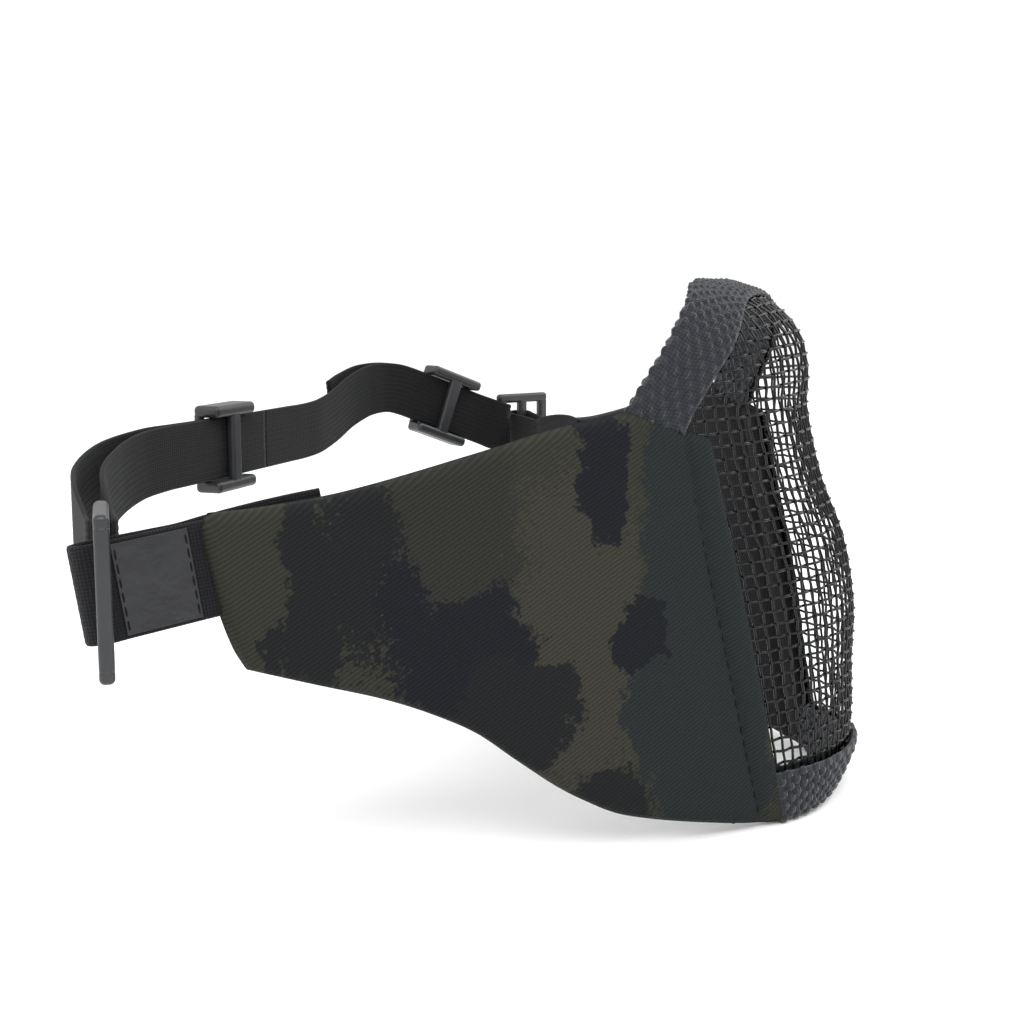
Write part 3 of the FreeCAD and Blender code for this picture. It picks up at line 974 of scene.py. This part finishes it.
def by_length(table: Sequence[tuple[float, float]]) -> list[tuple[float, float, float]]:
    """Put each point's share of the whole length in front of it.

    Args:
        table: Points of an outline.

    Returns:
        Rows of share and point.
    """
    gone, rows = 0.0, []
    for i, p in enumerate(table):
        if i:
            gone += math.dist(p, table[i - 1])
        rows.append((gone, *p))
    return [(r[0] / gone, r[1], r[2]) for r in rows]


@dataclass
class CheekWing:
    """One cheek wing: printed cover, foam and lining, with the hem over the wire."""

    side: Side
    puff: float = 2.7          # the cover's height over the middle of the pad
    rim: float = 2.6           # width over which its edge rounds off
    cloth: float = 0.7
    hem_height: float = 1.75   # the cover's height over the wire in the hem
    hem_lip: float = 0.45      # its height at the hem's folded front edge
    hem_round: float = 1.4     # width over which that edge rounds off
    valley: float = 0.75       # depth of the seam's valley
    valley_width: float = 1.4
    stitch: float = 2.4
    stitch_gap: float = 0.75
    thread: float = 0.36       # radius, a little stout so that the seam shows
    rows: int = 84
    hem_columns: int = 24
    wing_columns: int = 100

    def __post_init__(self) -> None:
        """Work out the outline's curves."""
        self.top = by_length([self.fold_at(HEM_TOP_REAR)] + WING_TOP[1:])
        self.rear = by_length(WING_REAR)
        self.foot = by_length(WING_FOOT)

    @staticmethod
    def fold_at(z: float) -> tuple[float, float]:
        """Place of the fold line in the wing's plane at a height."""
        run = fold_line(z) - fold_line(0)
        return run.dot(BACK), run.dot(UP)

    def flat(self, u: float, v: float) -> tuple[float, float]:
        """Find a place in the wing's plane between its four edges.

        Args:
            u: Share from the fold to the rear.
            v: Share from the foot to the top.

        Returns:
            Distance behind the fold line's foot and height, mm.
        """
        low = FOOT_Z + HEM_FOOT_RISE
        fold = self.fold_at(low + v * (HEM_TOP_REAR - low))
        rear, top, foot = smooth(self.rear, v), smooth(self.top, u), smooth(self.foot, u)
        corner = (self.fold_at(low), self.fold_at(HEM_TOP_REAR), self.foot[-1][1:], self.rear[-1][1:])
        out = []
        for k in (0, 1):
            edge = (1 - u) * fold[k] + u * rear[k] + (1 - v) * foot[k] + v * top[k]
            cross = ((1 - u) * ((1 - v) * corner[0][k] + v * corner[1][k])
                     + u * ((1 - v) * corner[2][k] + v * corner[3][k]))
            out.append(edge - cross)
        return out[0], out[1]

    def height(self, a: float, b: float, rim_gap: float, face: int) -> float:
        """Offset of a cloth's outer face from the middle plane.

        Args:
            a: Distance behind the fold line's foot, mm.
            b: Height in the wing's plane, mm.
            rim_gap: Distance from the nearest edge, mm.
            face: 1 for the cover, -1 for the lining.

        Returns:
            Offset in mm, with seam valley, puckers and slight waves.
        """
        behind = a - self.stitch_line(b)
        level = self.hem_height + (self.puff - self.hem_height) * min(1.0, max(0.0, behind / 12.0))
        pinch = math.exp(-(behind / self.valley_width) ** 2) * self.valley
        ripple = 0.16 * rough(a, b, 16.0, face * 3.0) + 0.07 * rough(a, b, 5.0, face * 7.0)
        pucker = 0.10 * math.sin(b * 2 * math.pi / 5.3 + rough(a, b, 8.0) * 3) * math.exp(-abs(behind) / 3.0)
        edge_wave = math.sin((a + b) * 2 * math.pi / 6.1 + rough(a, b, 9.0) * 4)
        edge_pucker = 0.14 * edge_wave * math.exp(-rim_gap / 3.0)
        return (level - pinch + ripple + pucker + edge_pucker) * ease(self.rim, rim_gap)

    @staticmethod
    def stitch_line(b: float) -> float:
        """Place of the hem's seam behind the fold line's foot at a height."""
        ahead = 8.3 + 2.3 * b / 90
        return 0.225 * b - ahead

    def sheet(self, face: int) -> tuple[list[list[Vector]], list[list[tuple[float, float]]]]:
        """Lay out a cloth from the hem's front edge to the wing's rear edge.

        Args:
            face: 1 for the cover, -1 for the lining.

        Returns:
            Grid of points, and their places on the flat cloth.
        """
        grid, flats = [], []
        for i in range(self.hem_columns + self.wing_columns + 1):
            line, flat = [], []
            for j in range(self.rows + 1):
                v = 0.5 - 0.5 * math.cos(math.pi * j / self.rows) if j in (0, self.rows) else j / self.rows
                if i < self.hem_columns:
                    share = i / self.hem_columns
                    head_t = HEM_HEAD_T + share * (1 - HEM_HEAD_T)
                    low_q = (FOOT_Z + HEM_FOOT_RISE * share) / 0.98
                    q = low_q + v * (hem_top(head_t) - low_q)
                    t0 = hem_share(round(q, 2))
                    t = t0 + share * (1 - t0)
                    base, out = front_point(t, q), front_out(t, q)
                    ahead = (1 - share) * (HEM_FOOT + (HEM_HEAD - HEM_FOOT) * q / 90)
                    b = q * 0.98 * UP.z
                    a = self.fold_at(q * 0.98)[0] - ahead
                    gap = min(j, self.rows - j) / self.rows * 97
                    front_gap = share * HEM_FOOT
                    off = self.height(a, b, gap, face)
                    off = self.hem_lip + (off - self.hem_lip) * ease(self.hem_round, front_gap + 0.02)
                else:
                    u = (i - self.hem_columns) / self.wing_columns
                    a, b = self.flat(u, v)
                    base, out = in_wing(a, b), OUT
                    top_gap = (1 - v) * 95 * (1 - 0.68 * u)
                    foot_gap = v * 95 * (1 - 0.68 * u)
                    gap = min(top_gap, foot_gap, (1 - u) * 117)
                    off = self.height(a, b, gap, face)
                line.append(mirrored(base + out * off * face, self.side))
                flat.append((a, b))
            grid.append(line)
            flats.append(flat)
        return grid, flats

    def cloth_piece(self, name: str, face: int, finish: Finish, nodes: tuple[str, ...]) -> bpy.types.Object:
        """Build the cover or the lining.

        Args:
            name: Name of the piece.
            face: 1 for the cover, -1 for the lining.
            finish: The cloth's finish.
            nodes: CAD nodes that it stands for.

        Returns:
            The new piece.
        """
        grid, flats = self.sheet(face)
        flip = (face * self.side.value) > 0
        obj = grid_piece(name, grid, flats, flip=not flip)
        thicken(obj, self.cloth)
        dress(obj, finish.material)
        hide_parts(*nodes)
        self.bend(obj)
        return obj

    def bend(self, obj: bpy.types.Object) -> None:
        """Bake a cloth's placement into its mesh.

        Args:
            obj: The cloth.
        """
        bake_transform(obj)

    def foam(self) -> None:
        """Build the foam between the cloths."""
        grid = []
        rows, columns = 24, 30
        for face in (1, -1):
            for i in range(columns + 1):
                line = []
                for j in range(rows + 1):
                    u = 0.04 + 0.93 * i / columns
                    v = 0.04 + 0.92 * j / rows
                    a, b = self.flat(u, v)
                    rim = min(i, columns - i, j, rows - j)
                    line.append(mirrored(in_wing(a, b, face * 1.1 * ease(2.0, rim)), self.side))
                grid.append(line)
        points = [p for line in grid for p in line]
        width = rows + 1
        faces = []
        for layer in (0, 1):
            for i in range(columns):
                for j in range(rows):
                    a = (layer * (columns + 1) + i) * width + j
                    faces.append((a, a + 1, a + width + 1, a + width))
        obj = piece_from("pad_foam_" + self.side.word, points, faces, [(p.y, p.z) for p in points])
        only(obj)
        bpy.ops.object.mode_set(mode="EDIT")
        bpy.ops.mesh.select_all(action="SELECT")
        bpy.ops.mesh.remove_doubles(threshold=0.00001)
        bpy.ops.object.mode_set(mode="OBJECT")
        outward(obj)
        dress(obj, FOAM.material)
        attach(obj, "wing_" + self.side.word)
        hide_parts("wing_foam_" + self.side.word)

    def seam(self) -> None:
        """Sew the hem's row of stitches on the cover."""
        spots = []
        z = FOOT_Z + 3.4
        while z < 88:
            spots.append((self.hem_spot(z), self.hem_spot(z + self.stitch)))
            z += self.stitch + self.stitch_gap
        stitches("hem_stitches_" + self.side.word, spots, self.thread, "mask")

    def hem_spot(self, z: float) -> tuple[Vector, Vector]:
        """Find a place on the hem's seam.

        Args:
            z: Height in the drawing, mm.

        Returns:
            The place and the outward direction there.
        """
        q = z / 0.98
        ahead = 8.3 + 2.3 * z / 90
        t = share_ahead(q, ahead)
        out = front_out(t, q)
        return (mirrored(front_point(t, q) + out * 1.7, self.side), mirrored(out, self.side))

    def build(self) -> None:
        """Build the wing's cloths, foam and seam."""
        word = self.side.word
        self.cloth_piece("cheek_cover_" + word, 1, CAMO, ("wing_cover_" + word, "hem_cover_" + word))
        self.cloth_piece("cheek_lining_" + word, -1, LINING, ("wing_lining_" + word, "hem_lining_" + word))
        self.foam()
        self.seam()
        log.info("cheek wing %s built", word)


def stitches(name: str, spots: list[tuple[tuple[Vector, Vector], tuple[Vector, Vector]]], radius: float,
             body: str) -> bpy.types.Object:
    """Lay short threads on a surface.

    Args:
        name: Name of the piece.
        spots: For each thread, place and outward direction of both ends.
        radius: Radius of the thread in mm.
        body: CAD body that it moves with.

    Returns:
        The threads as one piece.
    """
    points, faces, sides = [], [], 6
    for (a, out_a), (b, out_b) in spots:
        run = b - a
        across = run.cross(out_a).normalized()
        start = len(points)
        for s, wide, rise in ((0.0, 0.35, -0.6), (0.12, 0.85, 0.1), (0.5, 1.0, 0.45), (0.88, 0.85, 0.1),
                              (1.0, 0.35, -0.6)):
            out = out_a.lerp(out_b, s).normalized()
            middle = a + run * s + out * rise * radius
            for k in range(sides):
                turn = 2 * math.pi * k / sides
                points.append(middle + (across * math.cos(turn) + out * math.sin(turn)) * radius * wide)
        for i in range(4):
            for k in range(sides):
                c = start + i * sides
                faces.append((c + k, c + (k + 1) % sides, c + sides + (k + 1) % sides, c + sides + k))
        faces.append(tuple(start + k for k in range(sides))[::-1])
        faces.append(tuple(start + 4 * sides + k for k in range(sides)))
    obj = piece_from(name, points, faces, [(p.y, p.z) for p in points])
    outward(obj)
    dress(obj, THREAD.material)
    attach(obj, body)
    return obj


# ---------------------------------------------------------------- flat straps

@dataclass
class Ribbon:
    """A flat strap along a route of points, with a relief on both faces."""

    name: str
    points: list[Vector]
    ups: list[Vector]
    width: float
    thick: float
    step: float
    columns: int
    relief: Callable[[float, float], float]

    def route(self) -> tuple[list[tuple[float, ...]], float]:
        """Measure the route.

        Returns:
            Rows of length, middle and width direction, and the whole length.
        """
        rows, gone = [], 0.0
        for i, (p, w) in enumerate(zip(self.points, self.ups)):
            if i:
                gone += (p - self.points[i - 1]).length
            rows.append((gone, p.x, p.y, p.z, w.x, w.y, w.z))
        return rows, gone

    def frame_at(self, rows: list[tuple[float, ...]], total: float,
                 s: float) -> tuple[Vector, Vector, Vector]:
        """Find how the strap lies at a length.

        Args:
            rows: Rows of the route.
            total: Its whole length in mm.
            s: Length from its start in mm.

        Returns:
            Middle, width direction and face direction.
        """
        def middle(d: float) -> tuple[Vector, Vector]:
            """Middle and width direction at a length."""
            values = smooth(rows, min(max(d, 0.0), total))
            return Vector(values[:3]), Vector(values[3:]).normalized()
        centre, up = middle(s)
        run = (middle(s + 0.3)[0] - middle(s - 0.3)[0]).normalized()
        up = (up - run * up.dot(run)).normalized()
        return centre, up, run.cross(up).normalized()

    def build(self) -> bpy.types.Object:
        """Build the strap as a closed mesh.

        Returns:
            The new piece.
        """
        rows, total = self.route()
        count, n = round(total / self.step), self.columns
        points, uvs, faces = [], [], []
        for i in range(count + 1):
            s = total * i / count
            centre, up, face = self.frame_at(rows, total, s)
            ring = [(k / n, 1) for k in range(n + 1)] + [(1 - k / n, -1) for k in range(n + 1)]
            for w, sign in ring:
                lip = ease(0.5, min(w, 1 - w) * self.width + 0.12)
                high = (self.thick / 2 + self.relief(s, w * self.width)) * lip
                points.append(centre + up * (w - 0.5) * self.width + face * sign * high)
                uvs.append((s, w * self.width))
        loop = 2 * n + 2
        for i in range(count):
            for k in range(loop):
                a, b = i * loop + k, i * loop + (k + 1) % loop
                faces.append((a, b, b + loop, a + loop))
        for k in range(n):
            faces.append((k + 1, k, loop - 1 - k, loop - 2 - k))
            base = count * loop
            faces.append((base + k, base + k + 1, base + loop - 2 - k, base + loop - 1 - k))
        obj = piece_from(self.name, points, faces, uvs)
        outward(obj)
        return obj


def mirror_all(points: list[Vector], side: Side) -> list[Vector]:
    """Mirror a list of left points to a side."""
    return [mirrored(p, side) for p in points]


TAB_HEIGHT = 66.2
TAB_REACH = 20.5
RING_TURN = math.radians(180.0 - 34.0)
RING_PITCH = 8.8
SLOPE = {Side.RIGHT: math.radians(-8.0), Side.LEFT: math.radians(4.0)}


def tab_frame(side: Side) -> tuple[Vector, Vector, Vector]:
    """Find how a tab leaves the wing, on the left.

    Args:
        side: Side whose slope is wanted.

    Returns:
        Start, direction and upright direction.
    """
    along = (BACK * math.cos(SLOPE[side]) + UP * math.sin(SLOPE[side])).normalized()
    return in_wing(116.6, TAB_HEIGHT), along, OUT.cross(along).normalized()


@dataclass
class Tab:
    """Webbing tab that holds a ring, with its tail behind the wing."""

    side: Side
    width: float = 19.5
    thick: float = 1.1
    loop: float = 3.5
    slack: float = 1.3
    lean: float = 0.1375       # the front leaf's slope away from the wing
    rise: float = 0.20         # the tail's slope above the wing's top edge
    step: float = 0.45
    columns: int = 30

    def webbing(self, s: float, w: float) -> float:
        """Relief of the tab's fine weave.

        Args:
            s: Place along the webbing in mm.
            w: Place across it in mm.

        Returns:
            Height in mm.
        """
        return 0.09 * math.sin(2 * math.pi * s / 1.3 + math.pi * (math.floor(w / 1.3) % 2)) * abs(
            math.sin(math.pi * w / 1.3))

    def build(self) -> None:
        """Build the webbing and, on the right, the label's stitches."""
        start, along, up = tab_frame(self.side)
        turn, wrap = TAB_REACH + self.slack, self.loop
        path = [(a, 0.7 + self.lean * (a - 2.3)) for a in (-7.0, 0.0, 6.0, 12.0, 18.0)]
        path[0], path[1] = (-7.0, 0.9), (0.0, 0.55)
        path += [(turn - 1.5, wrap - 0.1), (turn, wrap)]
        for k in range(1, 9):
            angle = math.radians(22.5 * k)
            path.append((turn + wrap * math.sin(angle), wrap * math.cos(angle)))
        tail = len(path)
        path += [(turn - 1.5, -wrap), (15.5, -3.1), (10.0, -2.9), (4.0, -3.0), (-2.0, -3.8), (-8.0, -4.2),
                 (-14.0, -4.3), (-20.0, -4.4), (-26.0, -4.9)]
        points = []
        for i, (a, off) in enumerate(path):
            reach = max(0.0, 4.0 - a) if i >= tail else 0.0
            climb = reach * (1 - (reach / 44.0) ** 2) * (self.rise + math.tan(SLOPE[self.side])) * 1.15
            points.append(start + along * a + OUT * off + UP * climb)
        obj = Ribbon("tab_webbing_" + self.side.word, mirror_all(points, self.side),
                     mirror_all([up] * len(points), self.side), self.width, self.thick, self.step,
                     self.columns, self.webbing).build()
        dress(obj, WEBBING.material)
        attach(obj, "wing_" + self.side.word)
        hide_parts("tab_" + self.side.word)
        if self.side is Side.RIGHT:
            self.label_stitches(start, along, up)
        log.info("tab %s built", self.side.word)

    def label_stitches(self, start: Vector, along: Vector, up: Vector) -> None:
        """Sew the blank label down along its two short sides.

        Args:
            start: Where the tab leaves the wing.
            along: The tab's direction.
            up: The tab's upright direction.
        """
        spots = []
        tilt = (along + OUT * self.lean).normalized()
        out = up.cross(tilt).normalized()
        out = out if out.dot(OUT) > 0 else -out
        centre = start + along * 10.6 + OUT * (0.7 + self.lean * 8.3 + 0.6 + 0.175 + 0.06)
        for edge in (-7.1, 7.1):
            for k in range(6):
                low = -8.2 + k * 2.8
                ends = []
                for h in (low, low + 2.1):
                    p = centre + tilt * edge + up * h + out * 0.2
                    ends.append((mirrored(p, self.side), mirrored(out, self.side)))
                spots.append(tuple(ends))
        stitches("label_stitches", spots, 0.2, "wing_right")


BACK_Y, BACK_Z = 151.0, 79.0
BAND_STEP = 1.45
BAND_TURN = 2.7
BAND_RISE = 4.8
LEFT_BEND = [(83.9, 147.0, 87.6), (79.3, 149.2, 88.1), (74.5, 150.6, 87.9), (69.7, 151.6, 87.2),
             (60, 152.4, 84.9), (48, 151.9, 81.7), (35, 151, 79.6)]
LEFT_TAIL = [(84.7, 148.5, 87.6), (80.1, 151.3, 88.2), (75.3, 153.5, 88.1), (70.3, 155.3, 87.5),
             (60.5, 156.6, 85.4), (54, 156.6, 83.9)]


@dataclass
class HeadStrap:
    """Ribbed elastic from ring to ring, doubled back to a slide on each side."""

    width: float = 16.0
    thick: float = 0.95
    ribs: int = 11
    relief: float = 0.16

    def rib(self, s: float, w: float) -> float:
        """Relief of the ribs, mm."""
        return self.relief * (abs(math.sin(math.pi * w * self.ribs / self.width)) - 0.4)

    @staticmethod
    def ring_end(side: Side) -> tuple[Vector, Vector]:
        """Find the bar that the strap turns round.

        Args:
            side: Side of the ring.

        Returns:
            Middle of the bar at the strap's height, and the strap's direction.
        """
        start, along, _ = tab_frame(side)
        direction = Vector((math.cos(RING_TURN), math.sin(RING_TURN), 0))
        centre = start + along * TAB_REACH + direction * RING_PITCH
        return mirrored(centre, side) + Vector((0, 0, BAND_RISE)), mirrored(direction, side)

    def turn(self, centre: Vector, along: Vector, inside: Vector) -> list[Vector]:
        """Lead the strap half way round the ring's bar, from its outer to its inner side.

        Args:
            centre: Middle of the bar.
            along: The strap's direction, away from the ring.
            inside: Direction towards the head.

        Returns:
            Points of the half turn.
        """
        path = []
        for angle in range(-90, 91, 18):
            a = math.radians(angle)
            path.append(centre - along * BAND_TURN * math.cos(a) + inside * BAND_TURN * math.sin(a))
        return path

    def right_path(self) -> list[Vector]:
        """Lead the strap from the right slide out to the ring and back to the middle.

        Returns:
            Points of the route.
        """
        centre, along = self.ring_end(Side.RIGHT)
        inside = Vector((along.y, -along.x, 0))
        path = [Vector((x, BACK_Y + BAND_STEP, BACK_Z)) for x in (-17.5, -22, -28, -36)]
        path += [Vector(p) for p in ((-44, 153.0, BACK_Z), (-55, 154.4, 78.8), (-72, 154.6, 77.2),
                                     (-90, 149.0, 74.6), (-104, 140.0, 72.4))]
        path += [centre + along * 6 - inside * 3.4 + Vector((0, 0, 0.5))]
        path += self.turn(centre, along, inside)
        path += [centre + along * 2.0 + inside * BAND_TURN,
                 centre + along * 10 + inside * 1.8 + Vector((0, 0, 0.8))]
        path += [Vector(p) for p in ((-92, 141.0, 73.8), (-75, 148.0, 76.6), (-62, 150.6, 78.4))]
        path += [Vector((x, BACK_Y, BACK_Z)) for x in range(-50, 1, 10)]
        return path

    def left_path(self) -> list[Vector]:
        """Lead the strap from its loose tail through the left slide to the ring and back.

        Returns:
            Points of the route.
        """
        centre, along = self.ring_end(Side.LEFT)
        inside = Vector((-along.y, along.x, 0))
        rise = math.radians(20.0)
        axis = (along * math.cos(rise) + Vector((0, 0, math.sin(rise)))).normalized()
        path = [Vector(p) for p in LEFT_TAIL[::-1]]
        path += [centre + axis * d - inside * BAND_STEP for d in (41, 37, 32, 27, 22, 17)]
        path += [centre + axis * d - inside * k for d, k in ((14, 1.47), (11, 1.62), (8, 1.95), (4.5, 2.5))]
        path += self.turn(centre, along, inside)
        path += [centre + axis * d + inside * k for d, k in ((3, 2.3), (6, 1.3), (9, 0.55), (12, 0.12))]
        path += [centre + axis * d for d in (15, 20, 25, 30, 35, 41)]
        path += [Vector(p) for p in LEFT_BEND]
        path += [Vector((x, BACK_Y, BACK_Z)) for x in (25, 15, 7, 0)]
        return path

    def build(self) -> None:
        """Build both halves of the strap."""
        for side, path, end in ((Side.RIGHT, self.right_path(), 40.0), (Side.LEFT, self.left_path(), 5.0)):
            word = side.word
            ribbon = Ribbon("elastic_" + word, path, [Vector((0, 0, 1))] * len(path), self.width, self.thick,
                            1.3, self.ribs * 4, self.rib)
            obj = ribbon.build()
            dress(obj, ELASTIC.material)
            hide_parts("strap_" + word, "strap_return_" + word)
            ribbon.route()[1] * MM
            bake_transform(obj)
            log.info("elastic %s built", word)


# ---------------------------------------------------------------- carried-over pieces and the set

def dress_cad() -> None:
    """Dress the CAD nodes that stay in view."""
    for names, finish in ((("ring_right", "ring_left", "slide_right", "slide_left"), ACETAL),
                          (("label_right",), SATIN)):
        for name in names:
            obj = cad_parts[name]
            obj.data.materials.clear()
            obj.data.materials.append(finish.material)
            only(obj)
            bpy.ops.object.shade_smooth_by_angle(angle=math.radians(35))


@dataclass
class Studio:
    """Pale floor, soft lights and the camera."""

    look: tuple[float, float, float] = (0.9352, 0.3202, -0.1513)
    target: tuple[float, float, float] = (0.0, 78.1, 62.1)
    distance: float = 395.9
    lens: float = 52.73

    def build(self) -> None:
        """Set the stage."""
        bpy.ops.object.select_all(action="DESELECT")
        bpy.ops.mesh.primitive_plane_add(size=30.0, location=(0, 0, 0))
        floor = bpy.context.object
        floor.name = "floor"
        material = bpy.data.materials.new("pale_floor")
        material.use_nodes = True
        shader = material.node_tree.nodes["Principled BSDF"]
        shader.inputs["Base Color"].default_value = linear("#fafafa")
        shader.inputs["Roughness"].default_value = 0.9
        dress(floor, material)
        world = bpy.data.worlds.new("studio")
        world.use_nodes = True
        world.node_tree.nodes["Background"].inputs[0].default_value = linear("#ffffff")
        world.node_tree.nodes["Background"].inputs[1].default_value = 1.05
        bpy.context.scene.world = world
        for name, place, size, power in (("key", (-0.9, -0.5, 1.3), 0.9, 14.0),
                                         ("fill", (-0.7, 1.2, 0.9), 1.2, 6.0),
                                         ("rim", (0.9, -0.9, 1.1), 0.8, 9.0)):
            light = bpy.data.lights.new(name, "AREA")
            light.energy, light.size = power, size
            lamp = bpy.data.objects.new(name, light)
            lamp.location = place
            lamp.rotation_euler = (Vector((0, 0, 0.06)) - Vector(place)).to_track_quat("-Z", "Y").to_euler()
            bpy.context.scene.collection.objects.link(lamp)
        data = bpy.data.cameras.new("camera")
        data.lens, data.sensor_width = self.lens, 36.0
        data.clip_start = 0.01
        camera = bpy.data.objects.new("camera", data)
        look = Vector(self.look).normalized()
        camera.location = Vector(placed(Vector(self.target))) - look * self.distance * MM
        camera.rotation_euler = look.to_track_quat("-Z", "Y").to_euler()
        bpy.context.scene.collection.objects.link(camera)
        bpy.context.scene.camera = camera
        bpy.context.scene.view_settings.view_transform = "Standard"


def main() -> None:
    """Build the whole mask around the frame."""
    logging.basicConfig(level=logging.INFO, format="%(message)s")
    Studio().build()
    WireFront().build()
    Binding().build()
    for side in Side:
        CheekWing(side).build()
        Tab(side).build()
    HeadStrap().build()
    dress_cad()


if __name__ == "__main__":
    main()
